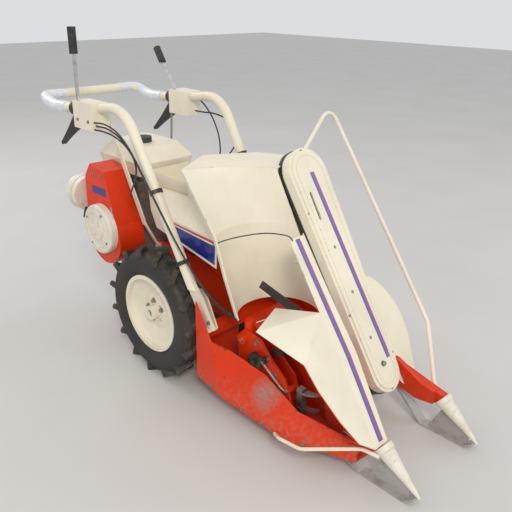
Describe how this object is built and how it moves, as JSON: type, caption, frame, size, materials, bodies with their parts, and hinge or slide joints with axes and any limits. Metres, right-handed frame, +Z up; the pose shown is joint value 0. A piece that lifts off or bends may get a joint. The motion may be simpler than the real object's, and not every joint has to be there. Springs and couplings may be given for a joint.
{
  "type": "walk-behind reaper binder",
  "caption": "Walk-behind single-row harvester on two lugged wheels, with a leaning crop raiser, pointed dividers, a hood, a small engine and a loop handle.",
  "frame": {"origin": "on the ground, under the middle of the whole machine's box", "axes": "+X the machine's left side, +Y towards its rear and handles, +Z up"},
  "size_m": [0.694, 1.595, 1.079],
  "materials": {
    "tyre_rubber": "matte, dusty",
    "cream_paint": "gloss, aged",
    "orange_paint": "gloss, worn",
    "white_plastic": "satin",
    "black_plastic": "matte",
    "grey_steel": "worn",
    "dark_steel": "oiled",
    "engine_metal": "cast, dusty",
    "muffler_paint": "satin",
    "red_rubber": "matte",
    "chrome_rod": "polished",
    "grip_wrap": "wrapped film"
  },
  "bodies": {
    "chassis": {"air_cleaner": "white_plastic", "axle": "grey_steel", "base_left": "orange_paint", "base_right": "orange_paint", "belt_cover": "cream_paint", "carburettor": "engine_metal", "chain_case": "orange_paint", "clutch_levers": "dark_steel", "control_cables": "black_plastic", "control_rod": "grey_steel", "cover_rim": "orange_paint", "cover_stay": "orange_paint", "cover_stays": "orange_paint", "crank_cover": "engine_metal", "cutter_deck": "orange_paint", "cutter_knife": "grey_steel", "deflector": "dark_steel", "divider_post_left": "orange_paint", "divider_tips": "white_plastic", "drive_lever": "chrome_rod", "drive_pulley": "grey_steel", "engine_block": "engine_metal", "fan_shroud": "orange_paint", "fuel_cap": "black_plastic", "fuel_hose": "red_rubber", "fuel_tank": "cream_paint", "gear_case": "orange_paint", "grips": "grip_wrap", "guide_rod": "cream_paint", "handle_boxes": "cream_paint", "handle_feet": "cream_paint", "handle_loop": "cream_paint", "handle_stay": "cream_paint", "hood": "cream_paint", "hood_stay": "orange_paint", "knotter_frame": "orange_paint", "knotter_gears": "dark_steel", "left_wing": "cream_paint", "lever_clamps": "black_plastic", "main_frame": "orange_paint", "muffler": "muffler_paint", "packers": "grey_steel", "raiser_back": "cream_paint", "raiser_case": "cream_paint", "raiser_chain": "dark_steel", "raiser_fingers": "white_plastic", "raiser_front_plate": "cream_paint", "rear_bar": "orange_paint", "recoil_starter": "white_plastic", "relay_box": "black_plastic", "right_cover": "cream_paint", "shift_lever": "chrome_rod", "skids": "grey_steel", "stem_hoop": "cream_paint", "twine_tray": "cream_paint"},
    "wheel_right": {"tyre_right": "tyre_rubber", "rim_right": "cream_paint"},
    "wheel_left": {"tyre_left": "tyre_rubber", "rim_left": "cream_paint"}
  },
  "joints": [
    {"name": "wheel_right_spin", "type": "hinge", "parent": "chassis", "child": "wheel_right", "pos_m": [-0.27953, 0.1595, 0.2175], "axis": [1, 0, 0], "continuous": true},
    {"name": "wheel_left_spin", "type": "hinge", "parent": "chassis", "child": "wheel_left", "pos_m": [0.07748, 0.1595, 0.2175], "axis": [1, 0, 0], "continuous": true}
  ]
}
